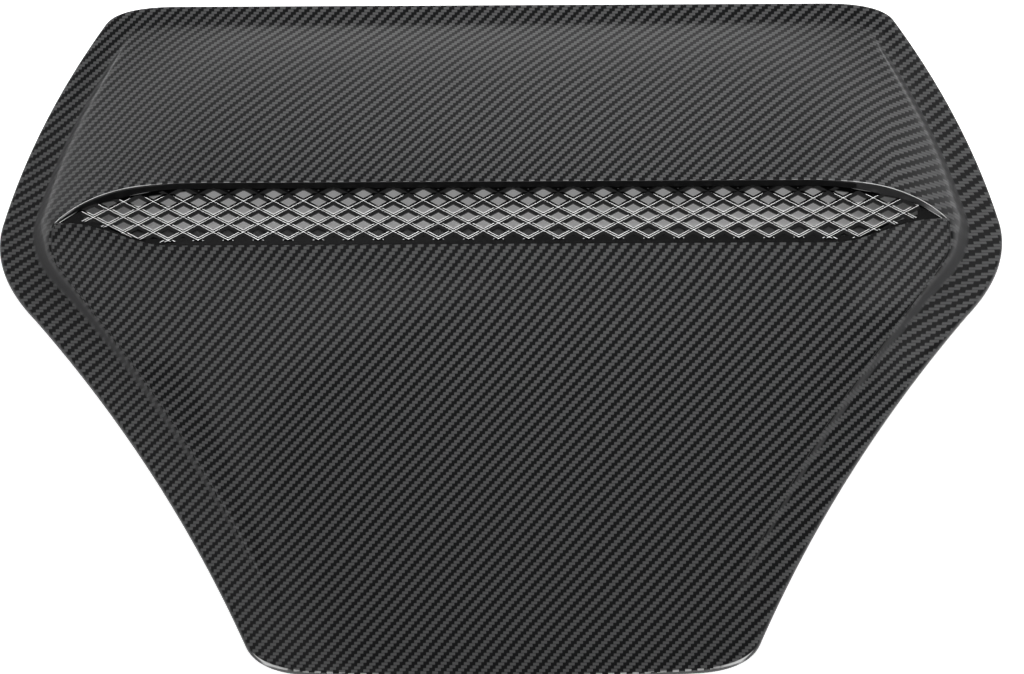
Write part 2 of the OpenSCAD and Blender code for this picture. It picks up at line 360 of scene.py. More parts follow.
class CoverLoft:
    """Rows of points of the cover's right half, with one point for each column.

    The rows run from the outline's bottom edge over the top to the edge of the mouth, and
    back underneath. Columns past the tip end at the lip, the others at the sill. A distance d
    runs from the flange's inner edge towards the crest or the lip.
    """

    # How much the front walls belly out, and the run in which the roof's walls leave the flange
    FRONT_BELLY, WALL_RUN = 0.9, 14
    # How far the underside lies inside the walls, and how far it moves from the crest by the tip
    UNDER_IN, UNDER_TIP = 1.7, -1.2
    # How far it lies under the top, beyond the wall's thickness
    UNDER_SPARE = 0.1
    # Rounding of the lip's edge in the middle and near its ends, and where it changes
    LIP_ROUND, LIP_ROUND_END, ROUND_X, ROUND_RUN = 0.7, 1.7, 160, 15

    def __init__(self, cover, slope):
        form = self.form = CoverForm(cover)
        self.wall, self.edge_radius, self.lip_wall = cover.wall, cover.edge_radius, cover.lip_wall
        t = np.linspace(0, LAST, LAST * FINE + 1)
        self.edge_line, self.inward = outline_at(t, (cover.width, cover.depth))
        self.flange = table(t, FLANGE_W)
        self.base = self.edge_line + self.inward * self.flange[:, None]
        self.past_tip = t > TIP
        self.near_tip = smooth((t - TIP + 4) / 4)

        # The crest: over the front sides it stands inside the flange, and past the tip it is the lip
        mouth_x = cover.mouth_half * table(t, MOUTH_SHARE)
        lip = np.stack((mouth_x, form.lip_line(mouth_x)), axis=1)
        self.sill = np.stack((mouth_x, form.sill_line(mouth_x)), axis=1)
        tip = np.array([cover.mouth_half, TIP_Y])
        front_crest = self.base + self.inward * table(t, CREST_RUN)[:, None]
        self.crest = self.pick(lip, mix(front_crest, tip, self.near_tip[:, None]))
        self.rise = np.linalg.norm(self.crest - self.base, axis=1)
        self.way = unit(self.crest - self.base)
        front_z = mix(self.wall + form.crest(self.crest[:, 1]), form.roof(self.crest), self.near_tip)
        self.crest_z = self.pick(form.roof(lip), front_z)

        # Its inner foot, and the edge of the mouth, which stays clear of the mesh
        def mesh_top(line):
            return MESH_Z0 + (line[:, 1] - cover.sill_y) * math.tan(slope) + GLUE_GAP

        self.shift_in = mix(self.UNDER_IN, self.UNDER_TIP, self.near_tip)
        under_crest = self.crest + self.way * self.shift_in[:, None]
        self.foot_in = self.pick(lip - self.way * self.lip_wall, under_crest)
        self.mesh_edge = mesh_top(self.sill)
        self.turn_z = np.maximum(form.roof(lip) - form.lip_depth(mouth_x), mesh_top(self.foot_in))
        near_end = smooth((mouth_x - self.ROUND_X) / self.ROUND_RUN)
        lip_round = mix(self.LIP_ROUND, self.LIP_ROUND_END, near_end)
        self.round_d = self.pick(np.minimum(lip_round, self.rise / 5), np.minimum(1.0, self.rise / 8))
        self.foot = self.pick(lip, self.crest + self.way * 0.5)
        self.foot_z = self.pick(self.crest_z - self.round_d, form.foot(self.foot[:, 1]))
        self.edge = self.pick(lip - self.way * 0.2, self.sill)
        self.edge_z = self.pick(self.turn_z, form.panel(self.sill))

    def pick(self, at_lip, at_sill):
        """The first value for the columns that end at the lip, the second for the others."""
        past_tip = self.past_tip[:, None] if np.ndim(at_lip) == 2 else self.past_tip
        return np.where(past_tip, at_lip, at_sill)

    def at(self, d, z):
        return lift(self.base + self.way * d[:, None], z)

    def front_z(self, d):
        """Height of the front walls."""
        part = d / self.rise
        return self.wall + (self.crest_z - self.wall) * part * (1 + self.FRONT_BELLY * (1 - part))

    def roof_z(self, d):
        """Height of the roof and its walls."""
        left_over = (1 - share(d / self.WALL_RUN)) ** 3
        step = self.form.roof(self.base) - self.wall
        return self.form.roof(self.base + self.way * d[:, None]) - step * left_over

    def top_z(self, d):
        d = np.maximum(0, d)
        return self.pick(self.roof_z(d), mix(self.front_z(d), self.roof_z(d), self.near_tip))

    def soft_z(self, d):
        """Height of the top, softened where it leaves the flange."""
        width = np.minimum(0.8, self.rise / 3)
        return sum(self.top_z(d + width * k) for k in (-1, -0.5, 0, 0.5, 1)) / 5

    def flange_rows(self):
        """Up the flange's outer edge, rounded above, and over its flat top."""
        radius, wall = self.edge_radius, self.wall
        rows = [lift(self.edge_line, 0), lift(self.edge_line, wall - radius)]
        for angle in np.radians((18, 36, 54, 72, 90)):
            line = self.edge_line + self.inward * radius * (1 - math.cos(angle))
            rows.append(lift(line, wall - radius * (1 - math.sin(angle))))
        for s in (0.3, 0.6):
            rows.append(lift(self.edge_line + self.inward * (self.flange * s)[:, None], wall))
        return rows

    def wall_rows(self):
        """Up the front walls or over the roof, and round the edge of the crest or the lip."""
        start, end = -np.minimum(1.0, self.rise / 2), self.rise - self.round_d
        rows = []
        for s in np.linspace(0, 1, 40):
            d = mix(start, end, s ** 1.3)
            rows.append(self.at(d, mix(self.soft_z(d), self.top_z(d), share((d - 2) / 2))))
        half = lift(mix(self.crest, self.foot, 0.8), mix(self.crest_z, self.foot_z, 0.5))
        return rows + corner(rows[-1], lift(self.crest, self.crest_z), half, 5) + [half]

    def mouth_rows(self, half):
        """Down the lip's wall, or across the panel to the sill, and round the mouth's edge.

        The rows that round the crest's foot come first, as a list of their own.
        """
        reach = np.linalg.norm(self.edge - self.foot, axis=1)
        first = self.pick(0.02, np.minimum(0.05, 0.6 / reach))
        last = self.pick(0.98, 1 - np.minimum(0.1, 0.7 / reach))

        def inner(s):
            p = mix(self.foot, self.edge, s[:, None])
            return lift(p, self.pick(mix(self.foot_z, self.turn_z, s), self.form.panel(p)))

        round_foot = corner(half, lift(self.foot, self.foot_z), inner(first), 3)
        rows = [inner(mix(first, last, 1 - (1 - s) ** 1.25)) for s in np.linspace(0, 1, 62)]
        sill_round = np.minimum(0.7, (self.edge_z - self.mesh_edge) / 2)
        below = lift(self.edge, self.pick(self.turn_z - 0.01, self.edge_z - sill_round))
        rows += corner(inner(last), lift(self.edge, self.edge_z), below, 4)
        return round_foot, rows + [below, lift(self.edge, self.pick(self.turn_z - 0.02, self.mesh_edge))]

    def under_rows(self):
        """Up behind the lip or along under the panel, and then out to the flange."""
        drop_in = self.wall + self.UNDER_SPARE
        behind_lip = self.roof_z(self.rise - self.lip_wall - self.UNDER_IN) - drop_in
        ceiling = np.maximum(self.turn_z + 0.3, behind_lip)
        rows = []
        for s in np.linspace(0, 1, 11):
            p = mix(self.sill, self.foot_in, 0.01 + 0.99 * s ** 1.4)
            under = self.mesh_edge if s == 0 else self.form.panel(p) - drop_in
            rows.append(self.pick(
                lift(self.foot_in, mix(self.turn_z - 0.02, ceiling, s)),
                lift(p, np.maximum(0, under)),
            ))
        for s in np.linspace(1, 0, 13)[1:-1]:
            d = self.UNDER_IN + (self.rise - self.lip_wall - 2 * self.UNDER_IN) * s
            front_d = mix(self.UNDER_IN, self.rise + self.shift_in, s)
            front_z = mix(0, self.form.foot(self.crest[:, 1]) - drop_in, s)
            rows.append(self.pick(
                self.at(d, np.maximum(0, self.roof_z(d - self.UNDER_IN) - drop_in)),
                self.at(front_d, np.maximum(0, front_z)),
            ))
        return rows + [lift(self.base + self.way * self.UNDER_IN, 0)]

    def rows(self):
        """All rows, the number of the row where the lip has turned down, and the number of the
        row where the bare underside starts."""
        outside = self.flange_rows() + self.wall_rows()
        round_foot, mouth = self.mouth_rows(outside[-1])
        lip_row = len(outside + round_foot)
        top = outside + round_foot + mouth
        return np.array(top + self.under_rows()), lip_row, len(top) - 1


# Meshes

def add_piece(name, points, faces):
    mesh = bpy.data.meshes.new(name)
    mesh.from_pydata([tuple(p) for p in points], [], faces)
    mesh.validate()
    piece = bpy.data.objects.new(name, mesh)
    bpy.context.scene.collection.objects.link(piece)
    return piece


def outward(piece):
    """Turns every face of a closed piece outwards."""
    work = bmesh.new()
    work.from_mesh(piece.data)
    bmesh.ops.recalc_face_normals(work, faces=work.faces)
    work.to_mesh(piece.data)
    work.free()


def shade(piece, sharp):
    """Shades a piece smooth, apart from its edges sharper than an angle in degrees."""
    piece.data.shade_smooth()
    piece.data.set_sharp_from_angle(angle=math.radians(sharp))


# Node helpers

def new_material(name):
    material = bpy.data.materials.new(name)
    material.use_nodes = True
    tree = material.node_tree
    return material, tree, tree.nodes["Principled BSDF"]


def fill(tree, socket, value):
    """Links a socket to another one, or gives it a number or a colour."""
    if isinstance(value, bpy.types.NodeSocket):
        tree.links.new(value, socket)
    elif isinstance(value, (int, float)):
        socket.default_value = value
    else:
        socket.default_value = (*value, 1)


def math_node(tree, operation, *values):
    node = tree.nodes.new("ShaderNodeMath")
    node.operation = operation
    for socket, value in zip(node.inputs, values):
        fill(tree, socket, value)
    return node.outputs[0]


def product(tree, first, *others):
    for other in others:
        first = math_node(tree, "MULTIPLY", first, other)
    return first


def map_range(tree, value, low, high, to_low=0.0, to_high=1.0):
    node = tree.nodes.new("ShaderNodeMapRange")
    node.interpolation_type = "SMOOTHSTEP"
    tree.links.new(value, node.inputs["Value"])
    for key, number in zip(("From Min", "From Max", "To Min", "To Max"), (low, high, to_low, to_high)):
        node.inputs[key].default_value = number
    return node.outputs["Result"]


def mix_node(tree, kind, factor, a, b):
    node = tree.nodes.new("ShaderNodeMix")
    node.data_type = kind
    for key, value in (("Factor", factor), ("A", a), ("B", b)):
        fill(tree, node.inputs[key], value)
    return node.outputs["Result"]


def mix_color(tree, factor, a, b):
    return mix_node(tree, "RGBA", factor, a, b)


def mix_value(tree, factor, a, b):
    return mix_node(tree, "FLOAT", factor, a, b)


def split_xyz(tree, vector):
    node = tree.nodes.new("ShaderNodeSeparateXYZ")
    tree.links.new(vector, node.inputs[0])
    return node.outputs["X"], node.outputs["Y"], node.outputs["Z"]


def object_place(tree):
    return tree.nodes.new("ShaderNodeTexCoord").outputs["Object"]


def noise(tree, vector, scale, detail):
    node = tree.nodes.new("ShaderNodeTexNoise")
    fill(tree, node.inputs["Scale"], scale)
    node.inputs["Detail"].default_value = detail
    tree.links.new(vector, node.inputs["Vector"])
    return node.outputs["Fac"]


def new_group(name, inputs, outputs):
    group = bpy.data.node_groups.new(name, "ShaderNodeTree")
    for label, kind, value in inputs:
        socket = group.interface.new_socket(label, in_out="INPUT", socket_type=kind)
        socket.default_value = value
    for label, kind in outputs:
        group.interface.new_socket(label, in_out="OUTPUT", socket_type=kind)
    source = group.nodes.new("NodeGroupInput")
    sink = group.nodes.new("NodeGroupOutput")
    return group, source.outputs, sink.inputs


def place_group(tree, group, values):
    node = tree.nodes.new("ShaderNodeGroup")
    node.node_tree = group
    for label, value in values.items():
        node.inputs[label].default_value = value
    return node.outputs


# Effects that the materials share

# The film's pull sideways: the half width from which it grows, the depth where it is strongest,
# how fast it fades from there, and its strength on the left and on the right
PULL_X, PULL_Y, PULL_RUN, PULL_LEFT, PULL_RIGHT = 196, 40, 75, 0.3, 0.42
# How far outside the panel's crest, and short of the mouth's tips, the pull starts, in mm
PULL_MARGIN = 0.5
# How the tows spread towards the right, and how far they wander, in mm
DRIFT, WANDER = 0.00035, 7.0
# Where the painted highlight on the folded lip and front edge starts, is full, is still full and ends, by
# the Y of the normal
HIGHLIGHT_LEAN = (-0.92, -0.8, -0.5, -0.36)
# It shows in front of the first place, on the front edge, and behind the second, on the lip
HIGHLIGHT_FRONT_Y, HIGHLIGHT_LIP_Y = -150, 51
# Half widths over which it becomes whole at the front edge's corners and near the lip's ends
HIGHLIGHT_WHOLE_FRONT, HIGHLIGHT_WHOLE_LIP = (99, 106), (165, 185)


def film_pull(group, x, y, wide):
    """How far the film is stretched sideways over the bulge's sides and the flange beyond them.

    The front panel isn't stretched. It ends at its crest and at the mouth's tips.
    """
    side = math_node(group, "MAXIMUM", math_node(group, "SUBTRACT", wide, PULL_X), 0)
    away = math_node(group, "DIVIDE", math_node(group, "SUBTRACT", y, PULL_Y), PULL_RUN)
    near = math_node(group, "EXPONENT", product(group, away, away, -1))
    strength = map_range(group, x, -1, 1, PULL_LEFT, PULL_RIGHT)
    ahead = math_node(group, "SUBTRACT", y, CREST_Y)
    slant = math_node(group, "MULTIPLY_ADD", ahead, CREST_BEND, CREST_SLANT)
    crest = math_node(group, "MULTIPLY_ADD", slant, ahead, CREST_X + PULL_MARGIN)
    crest = math_node(group, "MINIMUM", crest, CREST_MOST + PULL_MARGIN)
    inside = math_node(group, "LESS_THAN", wide, crest)
    before_tips = math_node(group, "LESS_THAN", y, TIP_Y - PULL_MARGIN)
    off_panel = math_node(group, "SUBTRACT", 1, product(group, inside, before_tips))
    return product(group, side, near, strength, off_panel, math_node(group, "SIGN", x))


def painted_edge_highlight(group, y, wide, forward, sideways, tows):
    """How strong the painted highlight is: a pale line painted where the film is folded over the lip and
    the front edge.

    It is broken up by the tows in the middle of the lip, and whole towards the mouth's tips
    and round the front corners.
    """
    start, full, still_full, end = HIGHLIGHT_LEAN
    highlight_band = product(
        group,
        map_range(group, forward, still_full, end, 1, 0),
        map_range(group, forward, start, full),
        map_range(group, sideways, 0.45, 0.6, 1, 0),
    )
    front_edge = math_node(group, "LESS_THAN", y, HIGHLIGHT_FRONT_Y)
    edges = math_node(group, "MAXIMUM", front_edge, math_node(group, "GREATER_THAN", y, HIGHLIGHT_LIP_Y))
    corners = product(group, front_edge, map_range(group, wide, *HIGHLIGHT_WHOLE_FRONT))
    whole = math_node(group, "MAXIMUM", map_range(group, wide, *HIGHLIGHT_WHOLE_LIP), corners)
    return product(group, highlight_band, edges, mix_value(group, whole, product(group, tows, 0.6), 0.95))


def twill_group():
    """A two-by-two twill in a film: its colour, with a painted highlight on the lip and the front edge, the
    height of its tows and its gloss.
    """
    group, given, result = new_group(
        "twill film",
        [
            ("Tow X", "NodeSocketFloat", 1.39), ("Tow Y", "NodeSocketFloat", 1.725),
            ("Light", "NodeSocketColor", (0.08, 0.08, 0.08, 1)),
            ("Dark", "NodeSocketColor", (0.01, 0.01, 0.01, 1)),
        ],
        [("Color", "NodeSocketColor"), ("Height", "NodeSocketFloat"), ("Gloss", "NodeSocketFloat")],
    )
    links = group.links
    place = object_place(group)
    x, y = (product(group, axis, 1 / MM) for axis in split_xyz(group, place)[:2])
    lean, forward, upright = split_xyz(group, group.nodes.new("ShaderNodeNewGeometry").outputs["Normal"])
    wide = math_node(group, "ABSOLUTE", x)
    sideways = math_node(group, "ABSOLUTE", lean)

    # Tows counted across and along the cover
    right = math_node(group, "MAXIMUM", x, 0)
    drift = product(group, right, right, DRIFT)
    across = math_node(group, "SUBTRACT", x, film_pull(group, x, y, wide))
    across = math_node(group, "SUBTRACT", across, drift)
    counts = []
    for axis, scale, tow in ((across, 6, "Tow X"), (y, 7.3, "Tow Y")):
        wander = math_node(group, "SUBTRACT", noise(group, place, scale, 1), 0.5)
        moved = math_node(group, "MULTIPLY_ADD", wander, WANDER, axis)
        counts.append(math_node(group, "DIVIDE", moved, given[tow]))
    column, row = (math_node(group, "FLOOR", count) for count in counts)

    # A tow lies over its neighbours for two of them and under the next two
    step = math_node(group, "FLOORED_MODULO", math_node(group, "SUBTRACT", column, row), 4)
    over = math_node(group, "LESS_THAN", step, 1.5)

    def hump(count, whole):
        """How high a tow is: 1 in its middle and 0 at its sides."""
        centre = math_node(group, "SUBTRACT", math_node(group, "SUBTRACT", count, whole), 0.5)
        return math_node(group, "MULTIPLY_ADD", product(group, centre, centre), -4, 1)

    height = mix_value(group, over, hump(counts[0], column), hump(counts[1], row))
    level = map_range(group, height, 0, 0.8, 0.42, 1.0)
    light = mix_color(group, level, given["Dark"], given["Light"])
    woven = mix_color(group, over, given["Dark"], light)
    plain = mix_color(group, 0.45, given["Dark"], given["Light"])

    # The pattern fades on steep walls, and where the film is drawn down over the bulge's sides
    clear = product(
        group, map_range(group, upright, 0.35, 0.8), map_range(group, sideways, 0.3, 0.5, 1.0, 0.55)
    )
    drawn = mix_color(group, clear, plain, woven)
    # The near-white mixed in below is a painted highlight on the lip and the front edge, not a colour of
    # the film
    painted_highlight = painted_edge_highlight(group, y, wide, forward, sideways, product(group, over, level))
    links.new(mix_color(group, painted_highlight, drawn, (0.92, 0.92, 0.92)), result["Color"])
    links.new(map_range(group, sideways, 0.42, 0.6, 1.0, 0.25), result["Gloss"])
    links.new(product(group, height, clear), result["Height"])
    return group


def grain_group():
    """Fine moulding grain: a height and a roughness that both change a little over the surface."""
    group, given, result = new_group(
        "moulding grain",
        [("Scale", "NodeSocketFloat", 900.0), ("Rough low", "NodeSocketFloat", 0.3),
         ("Rough high", "NodeSocketFloat", 0.45)],
        [("Height", "NodeSocketFloat"), ("Roughness", "NodeSocketFloat")],
    )
    place = object_place(group)
    group.links.new(noise(group, place, given["Scale"], 3), result["Height"])
    patch = noise(group, place, 45, 3)
    group.links.new(mix_value(group, patch, given["Rough low"], given["Rough high"]), result["Roughness"])
    return group


def add_bump(tree, shader, height, strength, distance):
    bump = tree.nodes.new("ShaderNodeBump")
    bump.inputs["Strength"].default_value = strength
    bump.inputs["Distance"].default_value = distance
    tree.links.new(height, bump.inputs["Height"])
    tree.links.new(bump.outputs["Normal"], shader.inputs["Normal"])


def film_material(film):
    material, tree, shader = new_material("woven film under gloss")
    twill = place_group(tree, twill_group(), {
        "Tow X": film.tow_x, "Tow Y": film.tow_y,
        "Light": (*film.light, 1), "Dark": (*film.dark, 1),
    })
    tree.links.new(twill["Color"], shader.inputs["Base Color"])
    shader.inputs["Roughness"].default_value = 0.42
    shader.inputs["Specular IOR Level"].default_value = 0.1
    tree.links.new(twill["Gloss"], shader.inputs["Coat Weight"])
    shader.inputs["Coat Roughness"].default_value = 0.08
    shader.inputs["Coat IOR"].default_value = 1.45
    add_bump(tree, shader, twill["Height"], 0.25, 0.00008)
    return material


def black_material(name, color, low, high, bump):
    material, tree, shader = new_material(name)
    group = bpy.data.node_groups.get("moulding grain") or grain_group()
    grain = place_group(tree, group, {"Rough low": low, "Rough high": high})
    shader.inputs["Base Color"].default_value = (*color, 1)
    tree.links.new(grain["Roughness"], shader.inputs["Roughness"])
    add_bump(tree, shader, grain["Height"], bump, 0.00005)
    return material


# Operators

class VENT_OT_cover(bpy.types.Operator):
    """Lofts the moulded cover around its mouth and lays the woven film on it"""
    bl_idname = "vent.cover"
    bl_label = "Cover"

    def execute(self, context):
        scene = context.scene
        loft = CoverLoft(in_mm(scene.vent_cover), scene.vent_mesh.slope)
        right, lip_row, bare_row = loft.rows()
        left = right[:, -2:0:-1] * np.array([-1, 1, 1])
        ring = np.concatenate((right, left), axis=1)
        rows, columns = ring.shape[:2]
        faces = []
        for r in range(rows):
            below = (r + 1) % rows
            for c in range(columns):
                beside = (c + 1) % columns
                faces.append((
                    r * columns + c, below * columns + c,
                    below * columns + beside, r * columns + beside,
                ))
        piece = add_piece("cover_shell", ring.reshape(-1, 3) * MM, faces)
        piece.data.materials.append(film_material(in_mm(scene.vent_film)))
        piece.data.materials.append(
            black_material("bare black moulding", scene.vent_mesh.black, 0.3, 0.42, 0.15)
        )
        row = np.repeat(np.arange(rows), columns)
        across = np.tile(ring[lip_row, :, 0], rows)
        column = np.tile(np.minimum(np.arange(columns), columns - np.arange(columns)), rows)
        lip_wall = (row >= lip_row) & (column > TIP * FINE) & (across < FILM_END)
        bare = ((row >= bare_row) | lip_wall) & (row < rows - 1)
        piece.data.polygons.foreach_set("material_index", bare.astype(np.int32))
        outward(piece)
        shade(piece, 35)
        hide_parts("vent_cover")
        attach(piece, BODY)
        return {"FINISHED"}


class InsertForm:
    """The insert's plan in the plane of its mesh, in mm: x across, v up from the sill."""

    HALF, WINDOW_HALF = 219, 207
    # The insert's edges change from one distance to the mouth's edge to another over these runs
    END_X, END_RUN = 150, 36
    TIP_X, TIP_RUN, TIP_GROW = 204, 10, 0.2

    def __init__(self, cover, mesh):
        self.form = CoverForm(cover)
        self.sill_y = cover.sill_y
        self.cos, self.sin = math.cos(mesh.slope), math.sin(mesh.slope)

    def along(self, y):
        return (y - self.sill_y) / self.cos

    def grow(self, x, middle, end):
        return mix(middle, end, smooth((abs(x) - self.END_X) / self.END_RUN))

    def low(self, x, middle, end):
        return self.along(self.form.sill_line(x)) - self.grow(x, middle, end)

    def high(self, x, middle, end):
        near_tip = smooth((abs(x) - self.TIP_X) / self.TIP_RUN)
        return self.along(self.form.lip_line(x)) + mix(self.grow(x, middle, end), self.TIP_GROW, near_tip)

    def outline(self, low, high, half):
        """The mouth's shape, grown past the sill and past the lip, each by one amount in the
        middle and another near the ends. An amount below zero draws it in."""
        xs = np.linspace(-half, half, 141)
        upper = [(x, self.high(x, *high)) for x in xs[::-1]]
        return np.array([(x, self.low(x, *low)) for x in xs] + upper)

    def tilted(self, points):
        flat = np.array(points, float)
        return np.stack((
            flat[:, 0],
            self.sill_y + flat[:, 1] * self.cos - flat[:, 2] * self.sin,
            MESH_Z0 + flat[:, 1] * self.sin + flat[:, 2] * self.cos,
        ), axis=1)


def cell_rings(mesh):
    """Rings of one diamond cell, from the ridges round it to the hole and underneath.

    Each has the inset and height of its lower corner, the insets towards the lower and
    the upper strands and the height of its side corners, and the same of its upper corner.
    The strands' far side falls to a ledge beside the hole, their near side in one slope.
    """
    foot, under = mesh.strand_w / 2, -mesh.thickness
    return [
        ((0.15, 0.0), (0.15, -0.15, 0.0), (-0.15, 0.0)),
        ((0.36, 0.0), (0.28, -0.13, 0.0), (-0.13, -0.01)),
        ((1.18, -0.472), (1.18, 0.68, -0.472), (0.68, -0.472)),
        ((foot - 0.01, -0.522), (foot - 0.01, 0.77, -0.522), (0.77, -0.522)),
        ((foot, -0.56), (foot, foot, -0.92), (foot, -0.92)),
        ((foot, under), (foot, foot, under), (foot, under)),
        ((0.0, under), (0.0, 0.0, under), (0.0, under)),
    ]


def lattice_mesh(mesh, half, top):
    """Diamond cells that share their strands: each ring of a cell is its diamond, inset.

    They reach a little past a half width and a height, where the mesh is cut to its outline.
    """
    wide, tall = mesh.diamond_w / 2, mesh.diamond_h / 2
    to_side = wide * tall / math.hypot(wide, tall)
    rings = []
    for (low, low_z), (lower, upper, side_z), (high, high_z) in cell_rings(mesh):
        side = wide * (1 - (lower + upper) / 2 / to_side)
        side_v = tall * (lower - upper) / 2 / to_side
        rings.append((
            (side, side_v, side_z), (0, tall * (1 - high / to_side), high_z),
            (-side, side_v, side_z), (0, -tall * (1 - low / to_side), low_z),
        ))
    spare_x, spare_v = 10, 4
    across = math.ceil((half + spare_x) / wide)
    low_row, high_row = -1, math.ceil((top + spare_v) / tall)
    points, faces, where = [], [], {}

    def point(x, v, z):
        key = (round(x, 3), round(v, 3), round(z, 3))
        if key not in where:
            where[key] = len(points)
            points.append((x, v, z))
        return where[key]

    for a in range(-across, across + 1):
        for b in range(low_row, high_row + 1):
            if (a + b) % 2 == 0:
                continue
            centre = np.array((mesh.crossing_x + a * wide, mesh.crossing_v + b * tall))
            ids = [
                [point(centre[0] + x, centre[1] + v, z) for x, v, z in ring]
                for ring in rings
            ]
            for ring, inner in zip(ids, ids[1:]):
                for k in range(4):
                    m = (k + 1) % 4
                    faces.append((ring[k], ring[m], inner[m], inner[k]))
            for k, (da, db) in enumerate(((1, 1), (-1, 1), (-1, -1), (1, -1))):
                outside = abs(a + da) > across or not low_row <= b + db <= high_row
                if outside:
                    m = (k + 1) % 4
                    faces.append((ids[0][m], ids[0][k], ids[-1][k], ids[-1][m]))
    return points, faces


def prism(outline, bottom, top):
    """Points and faces of an outline extruded from bottom to top."""
    count = len(outline)
    points = [(x, v, z) for z in (bottom, top) for x, v in outline]
    faces = [tuple(range(count))[::-1], tuple(range(count, 2 * count))]
    faces += [(k, (k + 1) % count, count + (k + 1) % count, count + k) for k in range(count)]
    return points, faces


def ring_between(outer, inner, section):
    """A closed ring whose section runs from the outer outline (share 0) to the inner one (1)."""
    count, size = len(outer), len(section)
    points = [(*mix(a, b, s), z) for a, b in zip(outer, inner) for s, z in section]
    faces = [
        (c * size + k, c * size + (k + 1) % size,
         (c + 1) % count * size + (k + 1) % size, (c + 1) % count * size + k)
        for c in range(count) for k in range(size)
    ]
    return points, faces


def boolean(target, tool, operation):
    """Applies a Boolean with a tool object and deletes the tool."""
    cut = target.modifiers.new("cut", "BOOLEAN")
    cut.operation = operation
    cut.solver = "MANIFOLD"
    cut.object = tool
    graph = bpy.context.evaluated_depsgraph_get()
    mesh = bpy.data.meshes.new_from_object(target.evaluated_get(graph))
    target.modifiers.clear()
    target.data = mesh
    bpy.data.objects.remove(tool)


def plan_solid(name, plan, parts):
    """A closed piece from points in the mesh's plane and their faces."""
    points, faces = parts
    piece = add_piece(name, plan.tilted(points) * MM, faces)
    outward(piece)
    return piece


def make_grille(plan, cover, mesh):
    """The diamond mesh, cut to the mouth's shape."""
    wall = cover.lip_wall
    cells = lattice_mesh(mesh, plan.WINDOW_HALF, plan.along(cover.lip_y) + wall)
    grille = plan_solid("mesh_grille", plan, cells)
    region = plan.outline((-5.3, -3.4), (wall + 3.5, 1.4), plan.WINDOW_HALF + 1)
    boolean(grille, plan_solid("region", plan, prism(region, -4, 2)), "INTERSECT")
    return grille


def make_upstand(cover, mesh):
    """The strip that leans against the back of the lip's turned-down wall."""
    half, thick, lean, under_roof = 160, 2, 2.1, 1.4
    front = cover.lip_y + cover.lip_wall + GLUE_GAP
    foot = front + lean
    base = MESH_Z0 + (foot - cover.sill_y) * math.tan(mesh.slope) - mesh.thickness * 0.7
    top = cover.roof - cover.wall - under_roof
    section = [(foot, base), (foot + thick, base), (front + thick, top), (front, top)]
    points = [(x, y, z) for x in (-half, half) for y, z in section]
    walls = [(k, (k + 1) % 4, 4 + (k + 1) % 4, 4 + k) for k in range(4)]
    strip = add_piece("upstand", np.array(points) * MM, [(3, 2, 1, 0), (4, 5, 6, 7)] + walls)
    outward(strip)
    return strip


def make_border(plan, cover, mesh):
    """The solid border behind the mouth's edge, with the upstand joined to it."""
    wall = cover.lip_wall
    top, chamfer, bottom = -0.8, -0.92, -2.4
    outer = plan.outline((6, -0.4), (wall + 6, 2), plan.HALF)
    inner = plan.outline((-7.2, -5), (wall + 1.6, 0.7), plan.WINDOW_HALF)
    section = [(0, bottom), (0, top), (0.97, top), (1, chamfer), (1, bottom)]
    border = plan_solid("mesh_border", plan, ring_between(outer, inner, section))
    boolean(border, make_upstand(cover, mesh), "UNION")
    return border


def make_ledge(plan, mesh):
    """The ledge that closes the lowest row of diamonds from behind."""
    half, front, back, thick = 184, -5.5, 11.8, 1.2
    plate = [(-half, front), (half, front), (half, back), (-half, back)]
    top = GLUE_GAP - mesh.thickness
    return plan_solid("mesh_ledge", plan, prism(plate, top - thick, top))


class VENT_OT_mesh_insert(bpy.types.Operator):
    """Makes the diamond mesh, its border behind the mouth, its ledge and its upstand"""
    bl_idname = "vent.mesh_insert"
    bl_label = "Mesh insert"

    def execute(self, context):
        mesh, cover = in_mm(context.scene.vent_mesh), in_mm(context.scene.vent_cover)
        plan = InsertForm(cover, mesh)
        grille, border = make_grille(plan, cover, mesh), make_border(plan, cover, mesh)
        black = black_material("gloss black mesh", mesh.black, 0.1, 0.16, 0.04)
        for part in (grille, border):
            part.data.materials.clear()
            part.data.materials.append(black)
        ledge = make_ledge(plan, mesh)
        ledge.data.materials.append(
            black_material("matt black backing", (0.1, 0.1, 0.101), 0.6, 0.75, 0.3)
        )
        for part, sharp in ((grille, 8), (border, 28), (ledge, 28)):
            shade(part, sharp)
            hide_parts("mesh_insert")
            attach(part, BODY)
        return {"FINISHED"}


# How bright the sky is that gloss shows, by how far its direction points up
SKY_LEVELS = (
    (0.05, 0.52), (0.5, 0.4), (0.63, 0.34), (0.69, 0.17), (0.82, 0.08), (0.93, 0.14), (1.0, 0.26),
)
# Lamps: their place, aim and size in metres, and their power in watts.
# The soft boxes light the colours, and no gloss shows them
SOFT_BOXES = {
    "key soft box": ((0.03, 0.15, 0.43), (0.02, 0.13, 0), (0.45, 0.22), 0.42),
    "left soft box": ((-1.6, 0.1, 0.35), (0, 0.05, 0), (0.5, 0.8), 12),
    "right soft box": ((1.6, 0.1, 0.35), (0, 0.05, 0), (0.5, 0.8), 15),
    "back soft box": ((0, 1.56, 0.9), (0, 0, 0), (1.4, 0.5), 9),
    "low front soft box": ((0, -2.3, 0.62), (0, 0, 0), (1.4, 0.5), 18),
}
